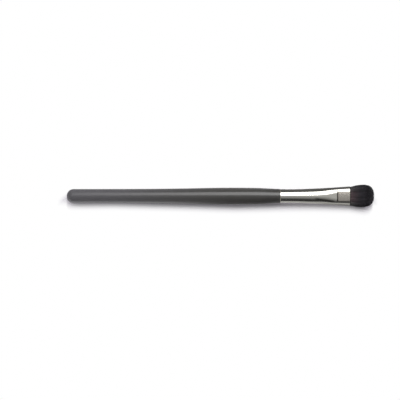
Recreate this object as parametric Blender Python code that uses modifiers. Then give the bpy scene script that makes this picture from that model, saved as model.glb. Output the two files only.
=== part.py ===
"""Eye-shading brush lying on a table, flat side up, hair towards +X. Metres, +Z up.

A turned and lacquered wooden handle carries a seamless metal ferrule, which goes from round to a
flattened oval and is pressed flat near its mouth to grip the hair. Inside the ferrule the hair's
roots are bound with thread and cast into a plug, and a ribbed film of glue holds the tenon.

Each piece is modelled standing on the handle's butt, along its own +Z, with the brush's width
along Y and its thickness along X. An empty then lays the whole brush down along +X.
"""

import math
import random

import bmesh
import bpy

# Handle, turned from one piece of wood
HANDLE_LENGTH = 0.1144
BUTT_RADIUS = 0.00381
BUTT_BLUNTNESS = 2.1
BELLY_RADIUS = 0.00454
BELLY_TO_SHOULDER = 0.0239
SHOULDER_RADIUS = 0.00387
SHOULDER_SLOPE = 0.021
SHOULDER_ROUND = 0.00015
SHANK_EASE = 0.80
BELLY_EASE_BACK = 0.28
BELLY_EASE_FRONT = 0.70
NECK_EASE = 0.27

# Tenon at the front of the handle, with turned grooves that key the glue
TENON_CHAMFER = 0.0005
GROOVE_COUNT = 3
GROOVE_WIDTH = 0.0015
GROOVE_DEPTH = 0.0005
GLUE_FILM = 0.00025

# Ferrule, one seamless tube
FERRULE_LENGTH = 0.0374
FERRULE_RADIUS = 0.00376
FERRULE_WALL = 0.0003
COLLAR_LENGTH = 0.0045
MOUTH_HALF_WIDTH = 0.00525
MOUTH_HALF_THICKNESS = 0.0030
MOUTH_SQUARENESS = 2.3
WIDEN_EASE = 1.6
RIM_ROUND = 0.0001

# Flats pressed into both broad faces of the ferrule, up to its mouth
FLAT_LENGTH = 0.0070
FLAT_HALF_WIDTH = 0.0025
FLAT_DEPTH = 0.0003
FLAT_STEP = 0.00025
FLAT_SLOPE = 0.0005

# Root plug and its thread binding, hidden inside the ferrule
ROOT_DEPTH = 0.0130
TENON_TO_ROOTS = 0.0060
BINDING_TURNS = 5
THREAD_RADIUS = 0.00015
THREAD_SPACING = 0.00045

# Hair, fused to the front slice of its root plug
HAIR_LENGTH = 0.0129
HAIR_HALF_WIDTH = 0.00605
HAIR_HALF_THICKNESS = 0.0036
HAIR_BULGE = 0.0071
DOME_SQUARENESS = 2.55
TIP_INWARD = 0.28
FLARE_EASE_WIDTH = 2.4
FLARE_EASE_THICKNESS = 1.6
SLICE_DEPTH = 0.0005
SLICE_THICKNESS = 0.0010
STRAND_PITCH = 0.000315
STRAND_SIDE_SHARE = 0.70
STRAND_SWELL = 1.3
STRAND_JITTER_SHARE = 0.06
STRAND_WANDER_SHARE = 0.14
STRAND_SUNK = 0.0003
STRAND_RING_SHARES = (0.27, 0.73, 1.18)
LATTICE_TURN = 13.0
STRAND_SEED = 11

# Clear space between one piece and the next
SEAT_GAP = 0.0003

# Fineness of the meshes
TURNED_SIDES = 28
CURVE_POINTS = 10
FLAT_COLUMNS = 3
SIDE_COLUMNS = 14
PLUG_COLUMNS = 36
THREAD_POINTS_PER_TURN = 14

# Places along the brush, from the butt
FERRULE_BACK = HANDLE_LENGTH + SEAT_GAP
MOUTH = FERRULE_BACK + FERRULE_LENGTH
HAIR_TIP = MOUTH + HAIR_LENGTH
FLAT_BACK = MOUTH - FLAT_LENGTH
ROOTS_BACK = MOUTH - ROOT_DEPTH
TENON_END = ROOTS_BACK - TENON_TO_ROOTS
SLICE_TOP = MOUTH - SLICE_DEPTH
SLICE_BACK = SLICE_TOP - SLICE_THICKNESS

# Turned pieces lie on one of their flat sides, which are a little nearer the axis than their edges
HALF_SIDE = math.pi / TURNED_SIDES
FATTEST_RADIUS = max(BELLY_RADIUS, BUTT_RADIUS, SHOULDER_RADIUS)
AXIS_HEIGHT = max(FATTEST_RADIUS * math.cos(HALF_SIDE), HAIR_HALF_THICKNESS)

# Sizes that follow from the fits
BORE_RADIUS = FERRULE_RADIUS - FERRULE_WALL
GLUE_OUTER_RADIUS = BORE_RADIUS - SEAT_GAP
GLUE_INNER_RADIUS = GLUE_OUTER_RADIUS - GLUE_FILM
TENON_RADIUS = GLUE_INNER_RADIUS - SEAT_GAP
FLAT_HALF_THICKNESS = MOUTH_HALF_THICKNESS - FLAT_DEPTH
BINDING_PITCH = 2 * THREAD_RADIUS + THREAD_SPACING
BINDING_LENGTH = BINDING_TURNS * BINDING_PITCH + 2 * THREAD_RADIUS
THREAD_INSET = FERRULE_WALL + SEAT_GAP + THREAD_RADIUS
NECK_INSET = FERRULE_WALL + 2 * SEAT_GAP + 2 * THREAD_RADIUS
PLUG_INSET = FERRULE_WALL + SEAT_GAP
STRAND_RADIUS = STRAND_PITCH * STRAND_SIDE_SHARE / math.sqrt(3)


def clear_scene():
    for old in list(bpy.data.objects):
        bpy.data.objects.remove(old, do_unlink=True)


def new_collection(name):
    collection = bpy.data.collections.new(name)
    bpy.context.scene.collection.children.link(collection)
    return collection


def new_material(name, colour, roughness, metallic=0.0):
    material = bpy.data.materials.new(name)
    material.use_nodes = True
    shader = material.node_tree.nodes["Principled BSDF"]
    shader.inputs["Base Color"].default_value = (*colour, 1.0)
    shader.inputs["Roughness"].default_value = roughness
    shader.inputs["Metallic"].default_value = metallic
    return material


def place(obj, collection, axis, height=0.0, material=None):
    """Puts a piece on the brush's axis, at its height above the butt."""
    collection.objects.link(obj)
    obj.parent = axis
    obj.location = (0.0, 0.0, height)
    if material:
        obj.data.materials.append(material)
    return obj


def mesh_object(name, bm):
    mesh = bpy.data.meshes.new(name)
    bm.to_mesh(mesh)
    bm.free()
    return bpy.data.objects.new(name, mesh)


def shade_round(obj, sharp_degrees=35.0):
    obj.data.shade_smooth()
    obj.data.set_sharp_from_angle(angle=math.radians(sharp_degrees))


def turned(name, outline, closed=False):
    """A piece turned about Z from (height, radius) points, listed down its outer side from the front."""
    bm = bmesh.new()
    x_share = math.cos(HALF_SIDE)
    y_share = math.sin(HALF_SIDE)
    verts = [bm.verts.new((r * x_share, r * y_share, height)) for height, r in outline]
    for first, second in zip(verts, verts[1:] + verts[:1] if closed else verts[1:]):
        bm.edges.new((first, second))
    obj = mesh_object(name, bm)
    screw = obj.modifiers.new("turn", "SCREW")
    screw.axis = "Z"
    screw.angle = 2 * math.pi
    screw.steps = screw.render_steps = TURNED_SIDES
    screw.use_merge_vertices = True
    screw.merge_threshold = 0.00001
    screw.use_smooth_shade = True
    return obj


def loft(name, rings, capped=True):
    """A skin through rings of (height, [(x, y), ...]), which run anticlockwise seen from the hair."""
    bm = bmesh.new()
    rows = [[bm.verts.new((x, y, height)) for x, y in points] for height, points in rings]
    for lower, upper in zip(rows, rows[1:]):
        for i in range(len(lower)):
            j = (i + 1) % len(lower)
            bm.faces.new((lower[i], lower[j], upper[j], upper[i]))
    if capped:
        bm.faces.new(reversed(rows[0]))
        bm.faces.new(rows[-1])
    return mesh_object(name, bm)


def bezier(start, pull_start, pull_end, end, count):
    """Points along a cubic curve, its first point left out."""
    points = []
    for i in range(1, count + 1):
        t = i / count
        weights = ((1 - t) ** 3, 3 * t * (1 - t) ** 2, 3 * t * t * (1 - t), t**3)
        corners = (start, pull_start, pull_end, end)
        points.append(tuple(sum(w * c[k] for w, c in zip(weights, corners)) for k in (0, 1)))
    return points


def superellipse(angle, half_x, half_y, power):
    """A point on |x/half_x|^power + |y/half_y|^power = 1."""
    c = math.cos(angle)
    s = math.sin(angle)
    return (
        math.copysign(half_x * abs(c) ** (2 / power), c),
        math.copysign(half_y * abs(s) ** (2 / power), s),
    )


def tube_section(height):
    """Half thickness, half width and squareness of the ferrule's skin before its flats are pressed."""
    along = height - FERRULE_BACK
    widened = min(max((along - COLLAR_LENGTH) / (FERRULE_LENGTH - COLLAR_LENGTH), 0.0), 1.0)
    flattened = min(max((height - TENON_END) / (FLAT_BACK - TENON_END), 0.0), 1.0)
    half_width = FERRULE_RADIUS + (MOUTH_HALF_WIDTH - FERRULE_RADIUS) * widened**WIDEN_EASE
    drop = (FERRULE_RADIUS - MOUTH_HALF_THICKNESS) * flattened**2 * (3 - 2 * flattened)
    return FERRULE_RADIUS - drop, half_width, 2 + (MOUTH_SQUARENESS - 2) * flattened


def pressed(height):
    """How far the flats are pressed home at this height, from 0 to 1."""
    return min(max((height - FLAT_BACK) / FLAT_SLOPE, 0.0), 1.0)


def handle_outline():
    """The turned outline, from the tenon's front face back to the butt."""
    outline = [(TENON_END, 0.0), (TENON_END, TENON_RADIUS - TENON_CHAMFER)]
    outline.append((TENON_END - TENON_CHAMFER, TENON_RADIUS))
    for back, front in reversed(groove_spans()):
        outline.append((front, TENON_RADIUS))
        outline.append((front, TENON_RADIUS - GROOVE_DEPTH))
        outline.append((back, TENON_RADIUS - GROOVE_DEPTH))
        outline.append((back, TENON_RADIUS))
    outline.append((HANDLE_LENGTH, TENON_RADIUS))
    outline.append((HANDLE_LENGTH, SHOULDER_RADIUS - SHOULDER_ROUND))
    neck_start = (HANDLE_LENGTH - SHOULDER_ROUND, SHOULDER_RADIUS)
    outline.append(neck_start)
    belly = HANDLE_LENGTH - BELLY_TO_SHOULDER
    neck_pull = NECK_EASE * BELLY_TO_SHOULDER
    outline += bezier(
        neck_start,
        (neck_start[0] - neck_pull, SHOULDER_RADIUS + SHOULDER_SLOPE * neck_pull),
        (belly + BELLY_EASE_FRONT * BELLY_TO_SHOULDER, BELLY_RADIUS),
        (belly, BELLY_RADIUS),
        CURVE_POINTS,
    )
    shank = belly - BUTT_RADIUS
    outline += bezier(
        (belly, BELLY_RADIUS),
        (belly - BELLY_EASE_BACK * shank, BELLY_RADIUS),
        (BUTT_RADIUS + SHANK_EASE * shank, BUTT_RADIUS),
        (BUTT_RADIUS, BUTT_RADIUS),
        CURVE_POINTS,
    )
    for i in range(1, CURVE_POINTS // 2):
        angle = math.pi / CURVE_POINTS * i
        radius, back = superellipse(angle, BUTT_RADIUS, BUTT_RADIUS, BUTT_BLUNTNESS)
        outline.append((BUTT_RADIUS - back, radius))
    outline.append((0.0, 0.0))
    return outline


def groove_spans():
    """(back, front) heights of the tenon's grooves, evenly spaced between its shoulder and chamfer."""
    room = TENON_END - TENON_CHAMFER - HANDLE_LENGTH
    pitch = room / GROOVE_COUNT
    centres = [HANDLE_LENGTH + pitch * (i + 0.5) for i in range(GROOVE_COUNT)]
    return [(c - GROOVE_WIDTH / 2, c + GROOVE_WIDTH / 2) for c in centres]


def make_handle(collection, axis):
    paint = new_material("charcoal_lacquer", (0.075, 0.072, 0.076), 0.38)
    handle = turned("handle", handle_outline())
    return place(handle, collection, axis, material=paint)


def make_tenon_glue(collection, axis):
    """The cured film between tenon and ferrule, with a rib in each groove."""
    front = TENON_END - TENON_CHAMFER
    back = FERRULE_BACK + SEAT_GAP
    outline = [(front, GLUE_OUTER_RADIUS), (back, GLUE_OUTER_RADIUS), (back, GLUE_INNER_RADIUS)]
    for groove_back, groove_front in groove_spans():
        low = groove_back + SEAT_GAP
        high = groove_front - SEAT_GAP
        outline.append((low, GLUE_INNER_RADIUS))
        outline.append((low, GLUE_INNER_RADIUS - GROOVE_DEPTH))
        outline.append((high, GLUE_INNER_RADIUS - GROOVE_DEPTH))
        outline.append((high, GLUE_INNER_RADIUS))
    outline.append((front, GLUE_INNER_RADIUS))
    amber = new_material("amber_glue", (0.60, 0.42, 0.20), 0.30)
    glue = turned("tenon_glue", outline, closed=True)
    return place(glue, collection, axis, material=amber)


def ferrule_ring(height):
    """Points round the outer skin, with columns kept straight along the edges of the pressed flats."""
    half_thickness, half_width, power = tube_section(height)
    narrowed = min(half_width / tube_section(FLAT_BACK)[1], 1.0)
    lip = (FLAT_HALF_WIDTH + FLAT_STEP) * narrowed
    edge = FLAT_HALF_WIDTH * narrowed
    across = [lip] + [edge * (1 - 2 * i / FLAT_COLUMNS) for i in range(FLAT_COLUMNS + 1)] + [-lip]
    top = []
    for y in across:
        crown = half_thickness * (1 - (abs(y) / half_width) ** power) ** (1 / power)
        sunk = FLAT_HALF_THICKNESS if abs(y) < lip else crown
        top.append((crown + (sunk - crown) * pressed(height), y))
    turn = math.acos((lip / half_width) ** (power / 2))
    side = []
    for i in range(1, SIDE_COLUMNS):
        angle = math.pi / 2 - turn + 2 * turn * i / SIDE_COLUMNS
        side.append(superellipse(angle, half_thickness, half_width, power))
    right = top[::-1] + side
    return right + [(-x, -y) for x, y in right]


def make_ferrule(collection, axis):
    heights = [FERRULE_BACK, FERRULE_BACK + COLLAR_LENGTH / 2]
    spread = CURVE_POINTS
    start = FERRULE_BACK + COLLAR_LENGTH
    heights += [start + (FLAT_BACK - start) * i / spread for i in range(spread + 1)]
    heights += [FLAT_BACK + FLAT_SLOPE, (FLAT_BACK + MOUTH) / 2, MOUTH]
    ferrule = loft("ferrule", [(h, ferrule_ring(h)) for h in heights], capped=False)
    shade_round(ferrule, sharp_degrees=30.0)
    wall = ferrule.modifiers.new("wall", "SOLIDIFY")
    wall.thickness = FERRULE_WALL
    wall.offset = -1.0
    wall.use_even_offset = True
    rims = ferrule.modifiers.new("rims", "BEVEL")
    rims.width = RIM_ROUND
    rims.segments = 1
    rims.limit_method = "ANGLE"
    rims.angle_limit = math.radians(70)
    metal = new_material("bright_nickel", (0.80, 0.79, 0.76), 0.16, metallic=1.0)
    return place(ferrule, collection, axis, material=metal)


def inner_section(height, inset):
    """Half thickness, half width, squareness and flat height of a section drawn in from the skin."""
    half_thickness, half_width, power = tube_section(height)
    flat_height = half_thickness - inset - FLAT_DEPTH * pressed(height + SEAT_GAP)
    return half_thickness - inset, half_width - inset, power, flat_height


def inner_ring(height, inset):
    half_thickness, half_width, power, flat_height = inner_section(height, inset)
    points = []
    for i in range(PLUG_COLUMNS):
        angle = 2 * math.pi * (i + 0.5) / PLUG_COLUMNS
        x, y = superellipse(angle, half_thickness, half_width, power)
        points.append((min(max(x, -flat_height), flat_height), y))
    return points


def make_root_plug(collection, axis):
    """The hair's roots cast in resin, with a neck at the back where the thread is bound."""
    neck_end = ROOTS_BACK + BINDING_LENGTH + 2 * SEAT_GAP
    full = neck_end + (NECK_INSET - PLUG_INSET)
    front = SLICE_BACK - SEAT_GAP
    flat = FLAT_BACK - SEAT_GAP
    rings = [(ROOTS_BACK, NECK_INSET + THREAD_RADIUS), (ROOTS_BACK + THREAD_RADIUS, NECK_INSET)]
    rings += [((ROOTS_BACK + neck_end) / 2, NECK_INSET), (neck_end, NECK_INSET)]
    rings += [(full, PLUG_INSET), ((full + flat) / 2, PLUG_INSET)]
    rings += [(flat, PLUG_INSET), (flat + FLAT_SLOPE, PLUG_INSET), (front, PLUG_INSET)]
    plug = loft("root_plug", [(h, inner_ring(h, inset)) for h, inset in rings])
    shade_round(plug)
    resin = new_material("root_resin", (0.12, 0.07, 0.04), 0.35)
    return place(plug, collection, axis, material=resin)


def binding_path():
    """Points along the thread's single helix round the neck of the plug."""
    count = BINDING_TURNS * THREAD_POINTS_PER_TURN
    start = ROOTS_BACK + SEAT_GAP + THREAD_RADIUS
    points = []
    for i in range(count + 1):
        turn = i / THREAD_POINTS_PER_TURN
        height = start + BINDING_PITCH * turn
        half_thickness, half_width, power, _ = inner_section(height, THREAD_INSET)
        x, y = superellipse(2 * math.pi * turn, half_thickness, half_width, power)
        points.append((x, y, height))
    return points


def least_gap(points, skip, thickness):
    """The least clear distance between points of a path that are skip or more steps apart."""
    pairs = ((a, b) for i, a in enumerate(points) for b in points[i + skip :])
    return min(math.dist(a, b) for a, b in pairs) - thickness


def make_root_binding(collection, axis):
    path = binding_path()
    gap = least_gap(path, THREAD_POINTS_PER_TURN // 2, 2 * THREAD_RADIUS)
    print(f"root_binding: least gap between turns {gap * 1000:.2f} mm")
    curve = bpy.data.curves.new("root_binding", "CURVE")
    curve.dimensions = "3D"
    curve.bevel_depth = THREAD_RADIUS
    curve.bevel_resolution = 1
    curve.use_fill_caps = True
    spline = curve.splines.new("POLY")
    spline.points.add(len(path) - 1)
    for point, place_at in zip(spline.points, path):
        point.co = (*place_at, 1.0)
    cotton = new_material("binding_thread", (0.75, 0.70, 0.60), 0.85)
    binding = bpy.data.objects.new("root_binding", curve)
    return place(binding, collection, axis, material=cotton)


def strand_roots():
    """Where each strand leaves the slice: a slightly uneven triangular lattice that fills the oval."""
    rng = random.Random(STRAND_SEED)
    jitter = STRAND_JITTER_SHARE * STRAND_PITCH
    inset = PLUG_INSET + STRAND_RADIUS + jitter
    half_thickness, half_width, power, flat_height = inner_section(SLICE_TOP, inset)
    cos_turn = math.cos(math.radians(LATTICE_TURN))
    sin_turn = math.sin(math.radians(LATTICE_TURN))
    reach = int(1.2 * half_width / STRAND_PITCH) + 1
    roots = []
    for row in range(-reach, reach + 1):
        for column in range(-reach, reach + 1):
            along = (column + 0.5 * (row % 2)) * STRAND_PITCH
            across = row * STRAND_PITCH * math.sqrt(3) / 2
            x = across * cos_turn + along * sin_turn
            y = along * cos_turn - across * sin_turn
            inside = (abs(x) / half_thickness) ** power + (abs(y) / half_width) ** power < 1
            if inside and abs(x) < flat_height:
                x += rng.uniform(-jitter, jitter)
                y += rng.uniform(-jitter, jitter)
                wander = (rng.uniform(-1, 1), rng.uniform(-1, 1))
                roots.append((x, y, wander, rng.uniform(0, 2 * math.pi)))
    return roots


def dome_share(rim):
    """How far from the bulge to the very tip a strand ends, for its place from centre 0 to rim 1."""
    low = 0.0
    high = 1.0
    for _ in range(40):
        share = (low + high) / 2
        spread = rim * (1 - TIP_INWARD * share**2)
        if spread**DOME_SQUARENESS + share**DOME_SQUARENESS < 1:
            low = share
        else:
            high = share
    return low


def spread_at(height, root_half, bulge_half, ease, bore_half):
    """Half size of the bundle of strands' centres at a height, from the slice out to the tip."""
    bulge = MOUTH + HAIR_BULGE
    if height > bulge:
        return bulge_half * (1 - TIP_INWARD * ((height - bulge) / (HAIR_TIP - bulge)) ** 2)
    left = (bulge - max(height, SLICE_TOP)) / (bulge - SLICE_TOP)
    flared = bulge_half - (bulge_half - root_half) * left**ease
    room = bore_half - STRAND_RADIUS * STRAND_SWELL - root_half
    past_lip = root_half + room * (height - SLICE_TOP) / SLICE_DEPTH
    return min(flared, max(past_lip, root_half))


def strand_rings(x, y, wander, root_thickness, root_width):
    """(height, x, y, radius) of a strand's rings and of its tip, for a bundle of this half size."""
    _, bore_width, power, bore_flat = inner_section(MOUTH, FERRULE_WALL)
    swollen = STRAND_RADIUS * STRAND_SWELL
    rim = ((abs(x) / root_thickness) ** power + (abs(y) / root_width) ** power) ** (1 / power)
    tip = MOUTH + HAIR_BULGE + (HAIR_LENGTH - HAIR_BULGE) * dome_share(min(rim, 1.0))
    heights = [SLICE_TOP - STRAND_SUNK]
    heights += [MOUTH + share * HAIR_BULGE for share in STRAND_RING_SHARES] + [tip]
    radii = (STRAND_RADIUS, (STRAND_RADIUS + swollen) / 2, swollen, swollen, 0.0)
    rings = []
    for height, radius in zip(heights, radii):
        thickness = spread_at(
            height, root_thickness, HAIR_HALF_THICKNESS - swollen, FLARE_EASE_THICKNESS, bore_flat
        )
        width = spread_at(height, root_width, HAIR_HALF_WIDTH - swollen, FLARE_EASE_WIDTH, bore_width)
        grown_x = thickness / root_thickness
        grown_y = width / root_width
        stray = STRAND_WANDER_SHARE * STRAND_PITCH
        x_here = x * grown_x + wander[0] * stray * (grown_x - 1)
        y_here = y * grown_y + wander[1] * stray * (grown_y - 1)
        rings.append((height, x_here, y_here, radius))
    return rings


def add_strand(bm, rings, turn):
    """One closed three-sided strand that ends in a point."""
    rows = []
    for height, x, y, radius in rings[:-1]:
        corners = [turn + 2 * math.pi * k / 3 for k in range(3)]
        rows.append(
            [bm.verts.new((x + radius * math.cos(c), y + radius * math.sin(c), height)) for c in corners]
        )
    for lower, upper in zip(rows, rows[1:]):
        for k in range(3):
            j = (k + 1) % 3
            bm.faces.new((lower[k], lower[j], upper[j], upper[k]))
    height, x, y, _ = rings[-1]
    point = bm.verts.new((x, y, height))
    for k in range(3):
        bm.faces.new((rows[-1][k], rows[-1][(k + 1) % 3], point))
    bm.faces.new(reversed(rows[0]))


def make_hair_tuft(collection, cutters, axis):
    """Strands that spread from the mouth, bulge and close into a dome, joined to their root slice."""
    bm = bmesh.new()
    paths = []
    roots = strand_roots()
    root_thickness = max(abs(root[0]) for root in roots)
    root_width = max(abs(root[1]) for root in roots)
    for x, y, wander, turn in roots:
        paths.append(strand_rings(x, y, wander, root_thickness, root_width))
        add_strand(bm, paths[-1], turn)
    for ring in range(len(STRAND_RING_SHARES) + 1):
        centres = [path[ring][1:3] for path in paths]
        gap = least_gap(centres, 1, 2 * paths[0][ring][3])
        print(f"hair_tuft: {len(paths)} strands, least gap at ring {ring} {gap * 1000:.3f} mm")
    strands = place(mesh_object("strands", bm), cutters, axis)
    strands.hide_render = True
    strands.display_type = "WIRE"
    slice_rings = [(h, inner_ring(h, PLUG_INSET)) for h in (SLICE_BACK, SLICE_TOP)]
    tuft = loft("hair_tuft", slice_rings)
    join = tuft.modifiers.new("strands", "BOOLEAN")
    join.operation = "UNION"
    join.solver = "EXACT"
    join.object = strands
    hair = new_material("soft_black_hair", (0.022, 0.018, 0.020), 0.55)
    return place(tuft, collection, axis, material=hair)


def make_axis(collection):
    """The line that all the pieces share: it lies along +X, at the height of the handle's belly."""
    axis = bpy.data.objects.new("brush_axis", None)
    collection.objects.link(axis)
    axis.location = (-HAIR_TIP / 2, 0.0, AXIS_HEIGHT)
    axis.rotation_euler = (0.0, math.radians(90), 0.0)
    return axis


def make_brush():
    clear_scene()
    brush = new_collection("shading_brush")
    cutters = new_collection("cutters")
    axis = make_axis(brush)
    make_handle(brush, axis)
    make_tenon_glue(brush, axis)
    make_ferrule(brush, axis)
    make_root_plug(brush, axis)
    make_root_binding(brush, axis)
    make_hair_tuft(brush, cutters, axis)


make_brush()
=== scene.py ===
"""Eye-shading brush on a pale table: its finishes, its fine hair and the studio around it.

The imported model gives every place. The handle and the ferrule get finer skins, some ten thousand
fine hairs take the place of the coarse strands, and the pieces inside the ferrule keep their shapes.
The brush lies along +X, hair at the front, with its broad side up. Metres.
"""

import math

import bmesh
import bpy
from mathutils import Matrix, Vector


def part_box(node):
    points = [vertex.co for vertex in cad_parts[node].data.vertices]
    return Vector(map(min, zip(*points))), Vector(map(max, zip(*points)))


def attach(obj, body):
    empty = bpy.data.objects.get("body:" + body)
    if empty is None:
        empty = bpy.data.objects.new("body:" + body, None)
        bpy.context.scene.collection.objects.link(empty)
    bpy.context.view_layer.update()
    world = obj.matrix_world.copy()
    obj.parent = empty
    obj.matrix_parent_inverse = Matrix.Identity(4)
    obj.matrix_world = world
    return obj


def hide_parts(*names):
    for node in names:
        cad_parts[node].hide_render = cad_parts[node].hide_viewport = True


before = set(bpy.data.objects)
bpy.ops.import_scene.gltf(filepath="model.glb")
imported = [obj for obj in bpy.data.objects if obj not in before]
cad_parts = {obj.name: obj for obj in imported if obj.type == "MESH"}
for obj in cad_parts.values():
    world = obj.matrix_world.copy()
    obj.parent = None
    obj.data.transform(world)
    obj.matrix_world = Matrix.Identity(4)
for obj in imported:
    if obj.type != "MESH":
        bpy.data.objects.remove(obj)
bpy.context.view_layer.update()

BODY = "root"

# Places along the brush, from the frame
HANDLE_LOW, HANDLE_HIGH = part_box("handle")
FERRULE_LOW, FERRULE_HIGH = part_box("ferrule")
BUTT_X = HANDLE_LOW.x
TENON_END_X = HANDLE_HIGH.x
FERRULE_BACK_X = FERRULE_LOW.x
MOUTH_X = FERRULE_HIGH.x
HAIR_TIP_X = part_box("hair_tuft")[1].x
AXIS_Z = (HANDLE_LOW.z + HANDLE_HIGH.z) / 2

# Handle, turned and lacquered
BUTT_RADIUS = 0.00381
BUTT_BLUNTNESS = 2.1
BELLY_RADIUS = 0.00454
BELLY_TO_SHOULDER = 0.0239
SHOULDER_RADIUS = 0.00387
SHOULDER_SLOPE = 0.021
SHOULDER_ROUND = 0.00008
SHOULDER_GAP = 0.00004
SHANK_EASE = 0.80
BELLY_EASE_BACK = 0.28
BELLY_EASE_FRONT = 0.70
NECK_EASE = 0.27
BUTT_POINTS = 18
SHANK_POINTS = 48
NECK_POINTS = 32
ROUND_POINTS = 4
TENON_RADIUS = 0.00261
TENON_CHAMFER = 0.0005
GROOVE_COUNT = 3
GROOVE_WIDTH = 0.0015
GROOVE_DEPTH = 0.0005
TURNED_SIDES = 96

# Ferrule, one drawn tube
FERRULE_RADIUS = 0.00376
FERRULE_WALL = 0.0003
COLLAR_LENGTH = 0.0045
MOUTH_HALF_WIDTH = 0.00525
MOUTH_HALF_THICKNESS = 0.0030
MOUTH_SQUARENESS = 2.3
WIDEN_EASE = 1.6
RIM_ROUND = 0.0001
FLATTENED_OVER_TENON = 0.0015
FLAT_LENGTH = 0.00725
FLAT_HALF_WIDTH = 0.0026
FLAT_CROWN = 0.00012
FLAT_STEP = 0.00025
FLAT_SLOPE = 0.0011
DRAWN_IN_LENGTH = 0.005
DRAWN_IN_SHARE = 0.6

# Hair
HAIR_HALF_WIDTH = 0.0060
HAIR_HALF_THICKNESS = 0.0036
HAIR_BULGE = 0.0071
DOME_SQUARENESS = 2.55
TIP_INWARD = 0.28
FLARE_EASE_WIDTH = 2.4
FLARE_EASE_THICKNESS = 1.6
HAIR_RADIUS = 0.000034
HAIR_SUNK = 0.0012
HAIR_SWEEP = 0.00025
HAIR_REACH = 0.0004
HAIR_STRAY = 0.00008
HAIR_LEAN = 0.00022
UNEVEN_TIPS = 0.00022
ROOT_HALF_WIDTH = 0.00478
ROOT_HALF_THICKNESS = 0.00262
ROOT_FLAT_HALF_THICKNESS = 0.00235
OUTER_LAYER_FROM = 0.80
INNER_HAIRS = 4600
OUTER_HAIRS = 5600
# Offset of the random streaks in the hair, set so that a darker streak falls on the -Y side of the
# roots: random tone, placed as painted shade.
STREAK_SHIFT_FOR_SHADE = 2.9

SHOULDER_X = FERRULE_BACK_X - SHOULDER_GAP
BELLY_X = SHOULDER_X - BELLY_TO_SHOULDER
FLATTENED_FROM_X = TENON_END_X - FLATTENED_OVER_TENON
FLAT_BACK_X = MOUTH_X - FLAT_LENGTH
HAIR_LENGTH = HAIR_TIP_X - MOUTH_X
FLOOR_Z = AXIS_Z - BELLY_RADIUS


# Small helpers for node trees

WHITE = (1.0, 1.0, 1.0, 1.0)
SOCKET_TYPES = {float: "NodeSocketFloat", int: "NodeSocketInt"}


def socket_of(node, key):
    """An input by place, identifier or name."""
    if isinstance(key, int):
        return node.inputs[key]
    for socket in node.inputs:
        if socket.identifier == key:
            return socket
    return node.inputs[key]


def add(tree, kind, inputs=None, **settings):
    node = tree.nodes.new(kind)
    for name, value in settings.items():
        setattr(node, name, value)
    for key, value in (inputs or {}).items():
        socket = socket_of(node, key)
        if isinstance(value, bpy.types.NodeSocket):
            tree.links.new(value, socket)
        else:
            socket.default_value = value
    return node


def calc(tree, operation, *values, clamp=False):
    """The result of a math node."""
    inputs = dict(enumerate(values))
    return add(tree, "ShaderNodeMath", inputs, operation=operation, use_clamp=clamp).outputs[0]


def plus(tree, first, second):
    return calc(tree, "ADD", first, second)


def minus(tree, first, second):
    return calc(tree, "SUBTRACT", first, second)


def times(tree, first, second):
    return calc(tree, "MULTIPLY", first, second)


def remap(tree, value, low, high, to_low=0.0, to_high=1.0, smooth=False):
    """A value taken from one range to another, held at its ends."""
    steps = "SMOOTHSTEP" if smooth else "LINEAR"
    inputs = {"Value": value, "From Min": low, "From Max": high, "To Min": to_low, "To Max": to_high}
    return add(tree, "ShaderNodeMapRange", inputs, interpolation_type=steps).outputs["Result"]


def through_stops(tree, value, stops):
    """A value that goes straight from stop to stop, where each stop is (place, value there)."""
    result = stops[0][1]
    for (low, at_low), (high, at_high) in zip(stops, stops[1:]):
        result = plus(tree, result, remap(tree, value, low, high, 0.0, at_high - at_low))
    return result


def blend_colour(tree, share, first, second, blend="MIX"):
    inputs = {"Factor_Float": share, "A_Color": first, "B_Color": second}
    node = add(tree, "ShaderNodeMix", inputs, data_type="RGBA", blend_type=blend)
    return next(s for s in node.outputs if s.identifier == "Result_Color")


def vector(tree, **parts):
    return add(tree, "ShaderNodeCombineXYZ", parts).outputs["Vector"]


def parts_of(tree, whole):
    """A vector's X, Y and Z."""
    return add(tree, "ShaderNodeSeparateXYZ", {"Vector": whole}).outputs


def object_place(tree):
    return add(tree, "ShaderNodeTexCoord").outputs["Object"]


def stretched(tree, along=1.0, across=1.0):
    """Object coordinates scaled along the brush and across it, for marks that run lengthways."""
    scale = {"Vector": object_place(tree), "Scale": (along, across, across)}
    return add(tree, "ShaderNodeMapping", scale).outputs["Vector"]


def attribute(tree, name):
    return add(tree, "ShaderNodeAttribute", attribute_name=name).outputs["Fac"]


def new_group(name, inputs, outputs, kind="ShaderNodeTree"):
    """An empty node group, its input node and its output node. An input has a default or a type."""
    tree = bpy.data.node_groups.new(name, kind)
    for label, value in inputs.items():
        socket_type = SOCKET_TYPES.get(type(value), value)
        socket = tree.interface.new_socket(label, in_out="INPUT", socket_type=socket_type)
        if type(value) in SOCKET_TYPES:
            socket.default_value = value
    for label, socket_type in outputs.items():
        tree.interface.new_socket(label, in_out="OUTPUT", socket_type=socket_type)
    return tree, tree.nodes.new("NodeGroupInput"), tree.nodes.new("NodeGroupOutput")


def use_group(tree, group, inputs):
    return add(tree, "ShaderNodeGroup", inputs, node_tree=group)


def clouds_of(tree, mottle, scale, darkest, lightest, along=1.0):
    """The mottle as one piece shows it, drawn out along the brush where along is under 1."""
    place = stretched(tree, along)
    tones = {"Vector": place, "Scale": scale, "Darkest": darkest, "Lightest": lightest}
    return use_group(tree, mottle, tones).outputs


def marks_of(tree, handling, scale):
    return use_group(tree, handling, {"Vector": stretched(tree), "Scale": scale}).outputs


def end_with(tree, geometry, material, result):
    """The last nodes of a Geometry Nodes tree: real geometry that carries its material."""
    real = add(tree, "GeometryNodeRealizeInstances", {"Geometry": geometry}).outputs["Geometry"]
    finished = add(tree, "GeometryNodeSetMaterial", {"Geometry": real, "Material": material})
    tree.links.new(finished.outputs["Geometry"], result.inputs["Geometry"])


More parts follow.
